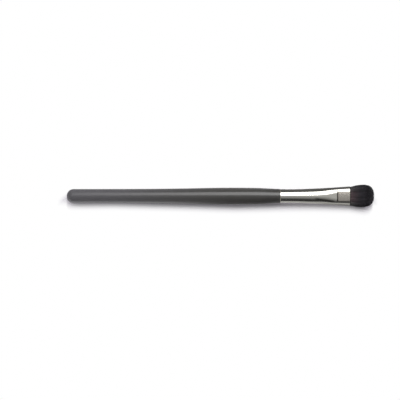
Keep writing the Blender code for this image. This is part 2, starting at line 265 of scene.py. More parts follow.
def mirrored(tree, light_path):
    """1 where a surface is seen in a mirror or through glass."""
    glossy = light_path.outputs["Is Glossy Ray"]
    return calc(tree, "MAXIMUM", glossy, light_path.outputs["Is Transmission Ray"])


# Effects that several finishes share

def make_mottle_group():
    """Soft cloudy variation: a tint from dark to light, and a height for a slight unevenness."""
    tree, given, result = new_group(
        "mottle",
        {"Vector": "NodeSocketVector", "Scale": 500.0, "Darkest": 0.9, "Lightest": 1.1},
        {"Tint": "NodeSocketFloat", "Height": "NodeSocketFloat"},
    )
    asked = given.outputs
    noise = {"Vector": asked["Vector"], "Scale": asked["Scale"], "Detail": 4.0}
    cloud = add(tree, "ShaderNodeTexNoise", noise).outputs["Fac"]
    tint = remap(tree, cloud, 0.3, 0.7, asked["Darkest"], asked["Lightest"])
    tree.links.new(tint, result.inputs["Tint"])
    tree.links.new(cloud, result.inputs["Height"])
    return tree


def make_handling_group():
    """Fine marks of handling: a mask of lightly rubbed patches and a mask of a few specks of dust."""
    tree, given, result = new_group(
        "handling_marks",
        {"Vector": "NodeSocketVector", "Scale": 900.0},
        {"Rubbed": "NodeSocketFloat", "Specks": "NodeSocketFloat"},
    )
    place = given.outputs["Vector"]
    noise = {"Vector": place, "Scale": given.outputs["Scale"], "Roughness": 0.7}
    patches = add(tree, "ShaderNodeTexNoise", noise).outputs["Fac"]
    rubbed = remap(tree, patches, 0.52, 0.75, smooth=True)
    finer = times(tree, given.outputs["Scale"], 3.0)
    cells = add(tree, "ShaderNodeTexVoronoi", {"Vector": place, "Scale": finer})
    chosen = add(tree, "ShaderNodeSeparateColor", {"Color": cells.outputs["Color"]}).outputs["Red"]
    rare = calc(tree, "GREATER_THAN", chosen, 0.93)
    near = remap(tree, cells.outputs["Distance"], 0.10, 0.22, 1.0, 0.0, smooth=True)
    specks = times(tree, rare, near)
    tree.links.new(rubbed, result.inputs["Rubbed"])
    tree.links.new(specks, result.inputs["Specks"])
    return tree


def new_finish(name):
    """A material with its tree and its Principled shader."""
    material = bpy.data.materials.new(name)
    material.use_nodes = True
    tree = material.node_tree
    return material, tree, tree.nodes["Principled BSDF"]


def put(shader, name, value):
    """Sets or links one of the shader's own sockets."""
    if isinstance(value, bpy.types.NodeSocket):
        shader.id_data.links.new(value, shader.inputs[name])
    else:
        shader.inputs[name].default_value = value


def bump(tree, height, distance, under=None):
    inputs = {"Height": height, "Distance": distance}
    if under:
        inputs["Normal"] = under
    return add(tree, "ShaderNodeBump", inputs).outputs["Normal"]


def tinted(tree, colour, tint):
    """A colour made lighter or darker by a value."""
    grey = add(tree, "ShaderNodeCombineColor", {"Red": tint, "Green": tint, "Blue": tint})
    return blend_colour(tree, 1.0, colour, grey.outputs["Color"], "MULTIPLY")


def charcoal_lacquer(mottle, handling):
    """Satin lacquer, cool and pale at the butt, warm charcoal at the belly; bare wood on the tenon."""
    material, tree, shader = new_finish("charcoal_lacquer")
    x = parts_of(tree, object_place(tree))["X"]
    toward_belly = remap(tree, x, BUTT_X, BELLY_X, smooth=True)
    butt_colour = (0.092, 0.089, 0.097, 1.0)
    belly_colour = (0.046, 0.044, 0.041, 1.0)
    speck_colour = (0.20, 0.20, 0.20, 1.0)
    birch_colour = (0.62, 0.45, 0.27, 1.0)
    birch_roughness = 0.75
    orange_peel = 0.000006
    paint = blend_colour(tree, toward_belly, butt_colour, belly_colour)
    clouds = clouds_of(tree, mottle, 900.0, 0.94, 1.06, along=0.35)
    paint = tinted(tree, paint, clouds["Tint"])
    marks = marks_of(tree, handling, 420.0)
    paint = blend_colour(tree, times(tree, marks["Specks"], 0.35), paint, speck_colour)
    grain = clouds_of(tree, mottle, 3500.0, 0.7, 1.1, along=0.06)
    birch = tinted(tree, birch_colour, grain["Tint"])
    bare = calc(tree, "GREATER_THAN", x, SHOULDER_X - SHOULDER_GAP / 2)
    put(shader, "Base Color", blend_colour(tree, bare, paint, birch))
    satin = remap(tree, marks["Rubbed"], 0.0, 1.0, 0.36, 0.44)
    satin = plus(tree, satin, remap(tree, toward_belly, 0.0, 1.0, 0.12, 0.0))
    bare_roughness = times(tree, bare, birch_roughness)
    put(shader, "Roughness", calc(tree, "MAXIMUM", satin, bare_roughness))
    glossier = remap(tree, x, BUTT_X, FERRULE_BACK_X, 0.08, 1.0)
    put(shader, "Coat Weight", times(tree, glossier, minus(tree, 1.0, bare)))
    put(shader, "Coat Roughness", 0.16)
    put(shader, "Specular IOR Level", 0.3)
    put(shader, "IOR", 1.48)
    put(shader, "Normal", bump(tree, clouds["Height"], orange_peel))
    return material


def bright_nickel(mottle, handling):
    """Drawn tube plated with nickel, polished, and duller where the dies pressed the flats; painted
    shade darkens the steps round the flats.
    """
    material, tree, shader = new_finish("bright_nickel")
    nickel_colour = (0.79, 0.775, 0.72, 1.0)
    stamped_colour = (0.58, 0.54, 0.487, 1.0)
    painted_step_shade_colour = (0.085, 0.077, 0.068, 1.0)
    painted_step_shade_strength = 4.6
    line_depth = 0.0000009
    stipple_depth = 0.0000015
    pressed_mask = attribute(tree, "pressed")
    draw_lines = clouds_of(tree, mottle, 9000.0, 0.95, 1.03, along=0.02)
    die_grain = clouds_of(tree, mottle, 5200.0, 0.93, 1.05)
    marks = marks_of(tree, handling, 500.0)
    polished = tinted(tree, nickel_colour, draw_lines["Tint"])
    stamped = tinted(tree, stamped_colour, die_grain["Tint"])
    metal = blend_colour(tree, pressed_mask, polished, stamped)
    # Painted shade: the steps down to the pressed flats are darkened, where shade falls in the crease.
    half_pressed = times(tree, pressed_mask, minus(tree, 1.0, pressed_mask))
    painted_step_shade = calc(tree, "MULTIPLY", half_pressed, painted_step_shade_strength, clamp=True)
    put(shader, "Base Color", blend_colour(tree, painted_step_shade, metal, painted_step_shade_colour))
    put(shader, "Metallic", 1.0)
    gloss = remap(tree, marks["Rubbed"], 0.0, 1.0, 0.10, 0.15)
    dull = remap(tree, die_grain["Height"], 0.3, 0.7, 0.18, 0.24)
    either = {"Factor_Float": pressed_mask, "A_Float": gloss, "B_Float": dull}
    put(shader, "Roughness", add(tree, "ShaderNodeMix", either, data_type="FLOAT").outputs[0])
    lines = bump(tree, draw_lines["Height"], line_depth)
    stippled = times(tree, die_grain["Height"], pressed_mask)
    put(shader, "Normal", bump(tree, stippled, stipple_depth, under=lines))
    return material


def dark_hair(mottle):
    """Very dark, soft, slightly glossy hair: maroon at the middle of its roots, with paler streaks,
    and painted shade just in front of the ferrule's rim.
    """
    material, tree, shader = new_finish("dark_hair")
    body_colour = (0.0118, 0.0098, 0.0146, 1.0)
    middle_root_colour = (0.057, 0.033, 0.038, 1.0)
    edge_root_colour = (0.046, 0.044, 0.045, 1.0)
    pale_colour = (0.12, 0.115, 0.118, 1.0)
    root_length = 0.0062
    rim_shade_length = 0.0008
    edge_from, edge_to = 0.35, 0.80
    pale_from, palest = 0.80, 0.55
    tip_from, tip_lightness = 0.85, 1.9
    share = attribute(tree, "hair_share")
    chance = attribute(tree, "hair_chance")
    root_y = attribute(tree, "root_y")
    root_z = attribute(tree, "root_z")
    x = parts_of(tree, object_place(tree))["X"]
    root = remap(tree, x, MOUTH_X, MOUTH_X + root_length, 1.0, 0.0, smooth=True)
    at_edge = remap(tree, calc(tree, "ABSOLUTE", root_y), edge_from, edge_to, smooth=True)
    root_colour = blend_colour(tree, at_edge, middle_root_colour, edge_root_colour)
    coat = blend_colour(tree, root, body_colour, root_colour)
    pale = remap(tree, chance, pale_from, 1.0, 0.0, palest, smooth=True)
    pale = times(tree, pale, remap(tree, root, 0.0, 1.0, 0.25, 1.0))
    coat = blend_colour(tree, pale, coat, pale_colour)
    # Random streaks of darker and lighter hair, shifted so that a darker streak lies on the -Y side as
    # painted shade.
    root_place = vector(tree, X=plus(tree, root_y, STREAK_SHIFT_FOR_SHADE), Y=times(tree, root_z, 0.4))
    streaks = {"Vector": root_place, "Scale": 5.5, "Darkest": 0.30, "Lightest": 2.1}
    coat = tinted(tree, coat, use_group(tree, mottle, streaks).outputs["Tint"])
    tip = remap(tree, share, tip_from, 1.0, 1.0, tip_lightness, smooth=True)
    # Painted shade: the hair is darkened over its first stretch past the ferrule's rim.
    painted_rim_shade = remap(tree, x, MOUTH_X, MOUTH_X + rim_shade_length, 0.3, 1.0, smooth=True)
    put(shader, "Base Color", tinted(tree, coat, times(tree, tip, painted_rim_shade)))
    put(shader, "Roughness", remap(tree, chance, 0.0, 1.0, 0.46, 0.62))
    put(shader, "Specular IOR Level", 0.42)
    put(shader, "Sheen Weight", 0.05)
    put(shader, "Sheen Roughness", 0.4)
    return material


def root_resin(mottle, handling):
    """Cured resin, brown where it has soaked between the hair's roots."""
    material, tree, shader = new_finish("root_resin")
    resin_colour = (0.12, 0.07, 0.04, 1.0)
    root_ridge = 0.00003
    roots = clouds_of(tree, mottle, 6000.0, 0.35, 1.5, along=0.05)
    marks = marks_of(tree, handling, 700.0)
    put(shader, "Base Color", tinted(tree, resin_colour, roots["Tint"]))
    put(shader, "Roughness", remap(tree, marks["Rubbed"], 0.0, 1.0, 0.30, 0.5))
    put(shader, "Normal", bump(tree, roots["Height"], root_ridge))
    return material


def binding_thread(mottle):
    """Natural cotton thread with its twist."""
    material, tree, shader = new_finish("binding_thread")
    cotton_colour = (0.75, 0.70, 0.60, 1.0)
    ply_depth = 0.00003
    fibres = clouds_of(tree, mottle, 7000.0, 0.7, 1.1)
    twist = {"Vector": stretched(tree, across=0.55), "Scale": 1400.0, "Distortion": 1.5}
    ply = add(tree, "ShaderNodeTexWave", twist, bands_direction="DIAGONAL")
    put(shader, "Base Color", tinted(tree, cotton_colour, fibres["Tint"]))
    put(shader, "Roughness", remap(tree, fibres["Height"], 0.3, 0.7, 0.75, 0.95))
    put(shader, "Normal", bump(tree, ply.outputs["Fac"], ply_depth))
    return material


def amber_glue(mottle, handling):
    """Cured adhesive film, amber and slightly cloudy."""
    material, tree, shader = new_finish("amber_glue")
    glue_colour = (0.60, 0.42, 0.20, 1.0)
    unevenness = 0.00002
    clouds = clouds_of(tree, mottle, 800.0, 0.7, 1.15)
    marks = marks_of(tree, handling, 600.0)
    put(shader, "Base Color", tinted(tree, glue_colour, clouds["Tint"]))
    put(shader, "Roughness", remap(tree, marks["Rubbed"], 0.0, 1.0, 0.2, 0.4))
    put(shader, "Normal", bump(tree, clouds["Height"], unevenness))
    return material


# Meshes

def placed(name, data):
    """A new object in the scene."""
    thing = bpy.data.objects.new(name, data)
    bpy.context.scene.collection.objects.link(thing)
    return thing


def grow(name, tree, values, base=None):
    """The plain mesh object that a Geometry Nodes tree makes with these input values."""
    piece = placed(name, base or bpy.data.meshes.new(name))
    modifier = piece.modifiers.new("grow", "NODES")
    modifier.node_group = tree
    for item in tree.interface.items_tree:
        if item.item_type == "SOCKET" and item.in_out == "INPUT" and item.name in values:
            modifier[item.identifier] = values[item.name]
    depsgraph = bpy.context.evaluated_depsgraph_get()
    mesh = bpy.data.meshes.new_from_object(piece.evaluated_get(depsgraph))
    piece.modifiers.remove(modifier)
    piece.data = mesh
    mesh.name = name
    return piece


def bezier(start, pull_start, pull_end, end, count):
    """Points along a cubic curve, its first point left out."""
    points = []
    for i in range(1, count + 1):
        t = i / count
        weights = ((1 - t) ** 3, 3 * t * (1 - t) ** 2, 3 * t * t * (1 - t), t**3)
        corners = (start, pull_start, pull_end, end)
        points.append(tuple(sum(w * c[k] for w, c in zip(weights, corners)) for k in (0, 1)))
    return points


def superellipse(angle, half_x, half_y, power):
    """A point on |x/half_x|^power + |y/half_y|^power = 1."""
    c = math.cos(angle)
    s = math.sin(angle)
    return (
        math.copysign(half_x * abs(c) ** (2 / power), c),
        math.copysign(half_y * abs(s) ** (2 / power), s),
    )


def even_share(value, low, high):
    """How far a value lies from low to high, from 0 to 1."""
    return min(max((value - low) / (high - low), 0.0), 1.0)


def smooth_share(value, low, high):
    """The same, eased at both ends."""
    share = even_share(value, low, high)
    return share * share * (3 - 2 * share)


def smoother_share(value, low, high):
    """The same, eased so that its curvature is even at both ends too."""
    share = even_share(value, low, high)
    return share**3 * (share * (6 * share - 15) + 10)


def handle_outline():
    """(x, radius) from the butt's pole to the tenon's front face."""
    outline = [(BUTT_X, 0.0)]
    for i in range(1, BUTT_POINTS + 1):
        angle = math.pi / 2 * (1 - i / BUTT_POINTS)
        radius, back = superellipse(angle, BUTT_RADIUS, BUTT_RADIUS, BUTT_BLUNTNESS)
        outline.append((BUTT_X + BUTT_RADIUS - back, radius))
    shank_back = BUTT_X + BUTT_RADIUS
    shank = BELLY_X - shank_back
    outline += bezier(
        (shank_back, BUTT_RADIUS),
        (shank_back + SHANK_EASE * shank, BUTT_RADIUS),
        (BELLY_X - BELLY_EASE_BACK * shank, BELLY_RADIUS),
        (BELLY_X, BELLY_RADIUS),
        SHANK_POINTS,
    )
    neck_end = (SHOULDER_X - SHOULDER_ROUND, SHOULDER_RADIUS)
    neck_pull = NECK_EASE * BELLY_TO_SHOULDER
    outline += bezier(
        (BELLY_X, BELLY_RADIUS),
        (BELLY_X + BELLY_EASE_FRONT * BELLY_TO_SHOULDER, BELLY_RADIUS),
        (neck_end[0] - neck_pull, SHOULDER_RADIUS + SHOULDER_SLOPE * neck_pull),
        neck_end,
        NECK_POINTS,
    )
    for i in range(1, ROUND_POINTS + 1):
        angle = math.pi / 2 * i / ROUND_POINTS
        x = SHOULDER_X - SHOULDER_ROUND * (1 - math.sin(angle))
        outline.append((x, SHOULDER_RADIUS - SHOULDER_ROUND * (1 - math.cos(angle))))
    outline.append((SHOULDER_X, TENON_RADIUS))
    room = TENON_END_X - TENON_CHAMFER - SHOULDER_X
    for i in range(GROOVE_COUNT):
        middle = SHOULDER_X + room / GROOVE_COUNT * (i + 0.5)
        for side in (-0.5, 0.5):
            wall_x = middle + side * GROOVE_WIDTH
            pair = [(wall_x, TENON_RADIUS), (wall_x, TENON_RADIUS - GROOVE_DEPTH)]
            outline += pair if side < 0 else pair[::-1]
    outline.append((TENON_END_X - TENON_CHAMFER, TENON_RADIUS))
    return outline + [(TENON_END_X, TENON_RADIUS - TENON_CHAMFER), (TENON_END_X, 0.0)]


def make_turning_tree():
    """Turns the outline that comes in as a row of (x, radius) points round the brush's axis."""
    tree, given, result = new_group(
        "turned_outline",
        {
            "Outline": "NodeSocketGeometry",
            "Sides": 64,
            "Axis Height": 0.0,
            "Merge Distance": 0.000001,
            "Material": "NodeSocketMaterial",
        },
        {"Geometry": "NodeSocketGeometry"},
        "GeometryNodeTree",
    )
    outline = given.outputs["Outline"]
    size = add(tree, "GeometryNodeAttributeDomainSize", {"Geometry": outline}, component="MESH")
    rows = size.outputs["Point Count"]
    columns = plus(tree, given.outputs["Sides"], 1.0)
    counts = {"Size X": 1.0, "Size Y": 1.0, "Vertices X": rows, "Vertices Y": columns}
    grid = add(tree, "GeometryNodeMeshGrid", counts).outputs["Mesh"]
    place = add(tree, "GeometryNodeInputPosition").outputs["Position"]
    here = parts_of(tree, place)
    row_share = plus(tree, here["X"], 0.5)
    row = calc(tree, "ROUND", times(tree, row_share, minus(tree, rows, 1.0)))
    turn = times(tree, plus(tree, here["Y"], 0.5), 2 * math.pi)
    on_row = {"Geometry": outline, "Index": row}
    kind = "GeometryNodeSampleIndex"
    point = add(tree, kind, on_row, data_type="FLOAT_VECTOR", domain="POINT")
    outline_place = add(tree, "GeometryNodeInputPosition").outputs["Position"]
    tree.links.new(outline_place, point.inputs["Value"])
    sampled = parts_of(tree, point.outputs["Value"])
    y = times(tree, sampled["Y"], calc(tree, "COSINE", turn))
    z = times(tree, sampled["Y"], calc(tree, "SINE", turn))
    z = plus(tree, z, given.outputs["Axis Height"])
    turned = {"Geometry": grid, "Position": vector(tree, X=sampled["X"], Y=y, Z=z)}
    moved = add(tree, "GeometryNodeSetPosition", turned)
    seam = {"Geometry": moved.outputs["Geometry"], "Distance": given.outputs["Merge Distance"]}
    closed = add(tree, "GeometryNodeMergeByDistance", seam).outputs["Geometry"]
    end_with(tree, closed, given.outputs["Material"], result)
    return tree


def make_handle(lacquer):
    outline = bpy.data.meshes.new("handle_outline")
    points = [(x, radius, 0.0) for x, radius in handle_outline()]
    outline.from_pydata(points, [(i, i + 1) for i in range(len(points) - 1)], [])
    values = {"Sides": TURNED_SIDES, "Axis Height": AXIS_Z, "Material": lacquer}
    handle = grow("lacquered_handle", make_turning_tree(), values, outline)
    face_outwards(handle.data)
    shade_round(handle.data, 30.0)
    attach(handle, BODY)
    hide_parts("handle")


def face_outwards(mesh):
    """Turns every face of a closed skin outwards."""
    bm = bmesh.new()
    bm.from_mesh(mesh)
    bmesh.ops.recalc_face_normals(bm, faces=bm.faces)
    bm.to_mesh(mesh)
    bm.free()


def shade_round(mesh, sharp_degrees):
    mesh.shade_smooth()
    mesh.set_sharp_from_angle(angle=math.radians(sharp_degrees))


def tube_section(x):
    """Half thickness, half width and squareness of the ferrule's skin before its flats are pressed."""
    widened = even_share(x, FERRULE_BACK_X + COLLAR_LENGTH, MOUTH_X)
    flattened = smoother_share(x, FLATTENED_FROM_X, FLAT_BACK_X)
    half_width = FERRULE_RADIUS + (MOUTH_HALF_WIDTH - FERRULE_RADIUS) * widened**WIDEN_EASE
    half_thickness = FERRULE_RADIUS - (FERRULE_RADIUS - MOUTH_HALF_THICKNESS) * flattened
    return half_thickness, half_width, 2 + (MOUTH_SQUARENESS - 2) * flattened


def across_flat(lip, edge):
    """Places across the brush from lip to lip, close together where the skin steps down."""
    step_columns = 6
    flat_columns = 16
    steps = [edge + (lip - edge) * i / step_columns for i in range(step_columns, 0, -1)]
    level = [edge * (1 - 2 * i / flat_columns) for i in range(flat_columns + 1)]
    return steps + level + [-y for y in reversed(steps)]


def ferrule_ring(x, inset):
    """(y, z, pressed) points round the skin, or round a skin drawn in from it."""
    half_thickness, half_width, power = tube_section(x)
    narrowed = min(half_width / tube_section(FLAT_BACK_X)[1], 1.0)
    edge = FLAT_HALF_WIDTH * narrowed
    lip = edge + FLAT_STEP
    drawn_in = DRAWN_IN_SHARE * smooth_share(x, FLAT_BACK_X - DRAWN_IN_LENGTH, FLAT_BACK_X)
    pressed = smooth_share(x, FLAT_BACK_X, FLAT_BACK_X + FLAT_SLOPE)
    half_thickness -= inset
    half_width -= inset
    edge_z = half_thickness * (1 - (edge / half_width) ** power) ** (1 / power)
    top = []
    for y in across_flat(lip, edge):
        crown = half_thickness * (1 - (abs(y) / half_width) ** power) ** (1 / power)
        flat = edge_z + FLAT_CROWN * (1 - (y / edge) ** 2)
        between_lips = smooth_share(lip - abs(y), 0.0, lip - edge)
        toward_middle = drawn_in * max(1 - (y / edge) ** 2, 0.0)
        lowered = toward_middle + (1 - toward_middle) * pressed
        drop = (crown - min(flat, crown)) * lowered * between_lips
        top.append((y, crown - drop, pressed * between_lips))
    side_columns = 44
    turn = math.acos((lip / half_width) ** (power / 2))
    side = []
    for i in range(1, side_columns):
        angle = math.pi / 2 - turn + 2 * turn * i / side_columns
        z, y = superellipse(angle, half_thickness, half_width, power)
        side.append((y, z, 0.0))
    right = top[::-1] + side
    return right + [(-y, -z, share) for y, z, share in right]


def spaced(low, high, count):
    """Evenly spaced places from low on, the last a step short of high."""
    return [low + (high - low) * i / count for i in range(count)]


def ferrule_rings():
    """(x, inset) of every ring, from the back rim along the skin, round the mouth and back inside."""
    by_rim = [RIM_ROUND, 2 * RIM_ROUND, 5 * RIM_ROUND]
    body_rings = 56
    step_rings = 8
    flat_rings = 10
    collar_end = FERRULE_BACK_X + COLLAR_LENGTH
    flat_start = FLAT_BACK_X + FLAT_SLOPE
    skin = [FERRULE_BACK_X + reach for reach in by_rim]
    skin.append((FERRULE_BACK_X + collar_end) / 2)
    skin += spaced(collar_end, FLAT_BACK_X, body_rings)
    skin += spaced(FLAT_BACK_X, flat_start, step_rings)
    skin += spaced(flat_start, MOUTH_X - by_rim[-1], flat_rings)
    skin += [MOUTH_X - reach for reach in reversed(by_rim)]
    arc = [math.pi / 2 * i / ROUND_POINTS for i in range(1, ROUND_POINTS + 1)]
    outer_lip = [(RIM_ROUND * math.sin(a), RIM_ROUND * (1 - math.cos(a))) for a in arc]
    inner_lip = [(RIM_ROUND * math.cos(a), FERRULE_WALL - RIM_ROUND * (1 - math.sin(a))) for a in arc]
    lip = outer_lip + [(RIM_ROUND, FERRULE_WALL - RIM_ROUND)] + inner_lip
    front_x = MOUTH_X - RIM_ROUND
    back_x = FERRULE_BACK_X + RIM_ROUND
    rings = [(x, 0.0) for x in skin]
    rings += [(front_x + reach, inset) for reach, inset in lip]
    rings += [(x, FERRULE_WALL) for x in reversed(skin[1:-1])]
    rings += [(back_x - reach, inset) for reach, inset in reversed(lip)]
    return rings


def make_ferrule(nickel):
    bm = bmesh.new()
    press = bm.verts.layers.float.new("pressed")
    rows = []
    for x, inset in ferrule_rings():
        row = []
        for y, z, share in ferrule_ring(x, inset):
            vert = bm.verts.new((x, y, AXIS_Z + z))
            vert[press] = share
            row.append(vert)
        rows.append(row)
    count = len(rows[0])
    for back, front in zip(rows, rows[1:] + rows[:1]):
        for i in range(count):
            j = (i + 1) % count
            bm.faces.new((back[i], back[j], front[j], front[i]))
    mesh = bpy.data.meshes.new("ferrule_tube")
    if bm.calc_volume(signed=True) < 0:
        bmesh.ops.reverse_faces(bm, faces=bm.faces)
    bm.to_mesh(mesh)
    bm.free()
    shade_round(mesh, 40.0)
    mesh.materials.append(nickel)
    ferrule = placed("ferrule_tube", mesh)
    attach(ferrule, BODY)
    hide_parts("ferrule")


def make_bristle_tree():
    """Tapered hairs that fill the ferrule's mouth, flare to the bulge and end on a dome."""
    tree, given, result = new_group(
        "bristles",
        {
            "Hairs": 6000,
            "Inner Rim": 0.0,
            "Outer Rim": 1.0,
            "Seed": 0,
            "Hair Radius": HAIR_RADIUS,
            "Segments": 5,
            "Sunk": HAIR_SUNK,
            "Length": HAIR_LENGTH + HAIR_REACH,
            "Bulge": HAIR_BULGE,
            "Mouth": MOUTH_X,
            "Axis Height": AXIS_Z,
            "Root Half Width": ROOT_HALF_WIDTH,
            "Root Half Thickness": ROOT_HALF_THICKNESS,
            "Flat Half Thickness": ROOT_FLAT_HALF_THICKNESS,
            "Bulge Half Width": HAIR_HALF_WIDTH,
            "Bulge Half Thickness": HAIR_HALF_THICKNESS,
            "Mouth Squareness": MOUTH_SQUARENESS,
            "Dome Squareness": DOME_SQUARENESS,
            "Tip Inward": TIP_INWARD,
            "Sweep": HAIR_SWEEP,
            "Stray": HAIR_STRAY,
            "Lean": HAIR_LEAN,
            "Uneven Tips": UNEVEN_TIPS,
            "Material": "NodeSocketMaterial",
        },
        {"Geometry": "NodeSocketGeometry"},
        "GeometryNodeTree",
    )
    size = given.outputs
    golden_angle = math.pi * (3 - math.sqrt(5))
    rim_tips_out = 0.7
    taper_share = 0.7
    taper_power = 6.0
    index = add(tree, "GeometryNodeInputIndex").outputs["Index"]

    def chance(low, high, seed):
        """A random number for each hair."""
        shifted = plus(tree, size["Seed"], float(seed))
        limits = {"Min_001": low, "Max_001": high, "ID": index, "Seed": shifted}
        node = add(tree, "FunctionNodeRandomValue", limits, data_type="FLOAT")
        return next(s for s in node.outputs if s.identifier == "Value_001")

    def kept(geometry, name, value, domain="INSTANCE"):
        stored = {"Geometry": geometry, "Name": name, "Value": value}
        kind = "GeometryNodeStoreNamedAttribute"
        return add(tree, kind, stored, data_type="FLOAT", domain=domain).outputs["Geometry"]

    def read(name):
        node = add(tree, "GeometryNodeInputNamedAttribute", {"Name": name}, data_type="FLOAT")
        return node.outputs["Attribute"]

    # Each hair's root: its place from the centre out to the rim, and its direction round the mouth
    along_spiral = calc(tree, "DIVIDE", plus(tree, index, 0.5), size["Hairs"])
    inner_square = calc(tree, "POWER", size["Inner Rim"], 2.0)
    outer_square = calc(tree, "POWER", size["Outer Rim"], 2.0)
    area_share = remap(tree, along_spiral, 0.0, 1.0, inner_square, outer_square)
    uneven = plus(tree, calc(tree, "SQRT", area_share), chance(-0.012, 0.012, 1))
    rim = calc(tree, "MINIMUM", calc(tree, "MAXIMUM", uneven, 0.0), 1.0)
    bearing = plus(tree, times(tree, index, golden_angle), chance(-0.05, 0.05, 2))
    cosine = calc(tree, "COSINE", bearing)
    sine = calc(tree, "SINE", bearing)

    def on_oval(value):
        """A cosine or sine bent to the squareness of the mouth, keeping its sign."""
        power = calc(tree, "DIVIDE", 2.0, size["Mouth Squareness"])
        bent = calc(tree, "POWER", calc(tree, "ABSOLUTE", value), power)
        return times(tree, calc(tree, "SIGN", value), bent)

    root_y = times(tree, rim, on_oval(cosine))
    root_z = times(tree, rim, on_oval(sine))

    # One straight three-sided hair, from 0 to 1 along Z, is copied to each root
    cone = {"Vertices": 3, "Side Segments": size["Segments"], "Depth": 1.0}
    cone |= {"Radius Top": 0.0, "Radius Bottom": 1.0}
    hair = add(tree, "GeometryNodeMeshCone", cone, fill_type="NGON").outputs["Mesh"]
    points = add(tree, "GeometryNodePoints", {"Count": size["Hairs"]}).outputs["Points"]
    spin = vector(tree, Z=chance(0.0, 2 * math.pi, 3))
    copies = {"Points": points, "Instance": hair, "Rotation": spin}
    planted = add(tree, "GeometryNodeInstanceOnPoints", copies).outputs["Instances"]
    planted = kept(planted, "root_y", root_y)
    planted = kept(planted, "root_z", root_z)
    planted = kept(planted, "root_rim", rim)
    planted = kept(planted, "hair_chance", chance(0.0, 1.0, 4))
    planted = kept(planted, "stray_y", chance(-1.0, 1.0, 5))
    planted = kept(planted, "stray_z", chance(-1.0, 1.0, 6))
    planted = kept(planted, "stray_tip", chance(-1.0, 0.35, 7))
    real = add(tree, "GeometryNodeRealizeInstances", {"Geometry": planted}).outputs["Geometry"]
    straight = add(tree, "GeometryNodeInputPosition").outputs["Position"]
    local = parts_of(tree, straight)
    real = kept(real, "hair_share", local["Z"], "POINT")

    # Where the hair ends: on a dome, at a share of the way from the bulge to the very tip
    share = read("hair_share")
    rim = read("root_rim")
    rim_spread = times(tree, calc(tree, "POWER", rim, 4.0), rim_tips_out)
    inward = times(tree, size["Tip Inward"], minus(tree, 1.0, rim_spread))
    tip_rim = times(tree, rim, minus(tree, 1.0, inward))
    tip_power = calc(tree, "POWER", tip_rim, size["Dome Squareness"])
    root_power = calc(tree, "DIVIDE", 1.0, size["Dome Squareness"])
    end_share = calc(tree, "POWER", minus(tree, 1.0, tip_power), root_power)
    past_bulge = minus(tree, size["Length"], size["Bulge"])
    reach = plus(tree, size["Bulge"], times(tree, past_bulge, end_share))
    reach = plus(tree, reach, times(tree, read("stray_tip"), size["Uneven Tips"]))
    from_mouth = remap(tree, share, 0.0, 1.0, times(tree, size["Sunk"], -1.0), reach)

    # How wide the bundle is there
    before_bulge = minus(tree, size["Bulge"], from_mouth)
    back_share = calc(tree, "DIVIDE", before_bulge, size["Bulge"], clamp=True)
    after_bulge = minus(tree, from_mouth, size["Bulge"])
    ahead = calc(tree, "DIVIDE", after_bulge, past_bulge, clamp=True)
    closing = times(tree, size["Tip Inward"], calc(tree, "POWER", ahead, 2.0))
    closing = minus(tree, 1.0, closing)

    def flared(root_place, bulge_half, ease):
        """From its place at the mouth to its place at the bulge, then drawn in toward the tip."""
        still_back = calc(tree, "POWER", back_share, ease)
        rooted = times(tree, root_place, still_back)
        free_share = minus(tree, 1.0, still_back)
        out = times(tree, times(tree, bulge_half, free_share), closing)
        return rooted, out

    unit_y = read("root_y")
    unit_z = read("root_z")
    mouth_y = times(tree, unit_y, size["Root Half Width"])
    mouth_z = times(tree, unit_z, size["Root Half Thickness"])
    under_flat = size["Flat Half Thickness"]
    mouth_z = calc(tree, "MINIMUM", mouth_z, under_flat)
    mouth_z = calc(tree, "MAXIMUM", mouth_z, times(tree, under_flat, -1.0))
    rooted_y, out_y = flared(mouth_y, size["Bulge Half Width"], FLARE_EASE_WIDTH)
    rooted_z, out_z = flared(mouth_z, size["Bulge Half Thickness"], FLARE_EASE_THICKNESS)
    path_y = plus(tree, rooted_y, times(tree, unit_y, out_y))
    path_z = plus(tree, rooted_z, times(tree, unit_z, out_z))

    # Neighbouring hairs lean together, and each strays a little of its own
    noise = {"Vector": vector(tree, X=unit_y, Y=unit_z), "Scale": 9.0, "Detail": 2.0}
    lean = parts_of(tree, add(tree, "ShaderNodeTexNoise", noise).outputs["Color"])
    free = calc(tree, "POWER", share, 2.0)

    def strayed(path, lean_part, stray_name):
        leaning = times(tree, minus(tree, lean_part, 0.5), size["Lean"])
        alone = times(tree, read(stray_name), size["Stray"])
        both = times(tree, plus(tree, leaning, alone), free)
        return plus(tree, path, both)

    swept = calc(tree, "MULTIPLY_ADD", size["Sweep"], free, path_y)
    path_y = strayed(swept, lean["X"], "stray_y")
    path_z = strayed(path_z, lean["Y"], "stray_z")

    # The hair's own thickness, which tapers over its last third
    from_middle = {0: vector(tree, X=local["X"], Y=local["Y"])}
    outward = add(tree, "ShaderNodeVectorMath", from_middle, operation="NORMALIZE")
    outward = parts_of(tree, outward.outputs["Vector"])
    thinned = times(tree, calc(tree, "POWER", share, taper_power), taper_share)
    taper = minus(tree, 1.0, thinned)
    thickness = times(tree, size["Hair Radius"], taper)
    y = calc(tree, "MULTIPLY_ADD", outward["X"], thickness, path_y)
    z = calc(tree, "MULTIPLY_ADD", outward["Y"], thickness, path_z)
    z = plus(tree, z, size["Axis Height"])
    x = plus(tree, from_mouth, size["Mouth"])
    curved = {"Geometry": real, "Position": vector(tree, X=x, Y=y, Z=z)}
    bent = add(tree, "GeometryNodeSetPosition", curved)
    smooth = add(tree, "GeometryNodeSetShadeSmooth", {"Geometry": bent.outputs["Geometry"]})
    end_with(tree, smooth.outputs["Geometry"], size["Material"], result)
    return tree


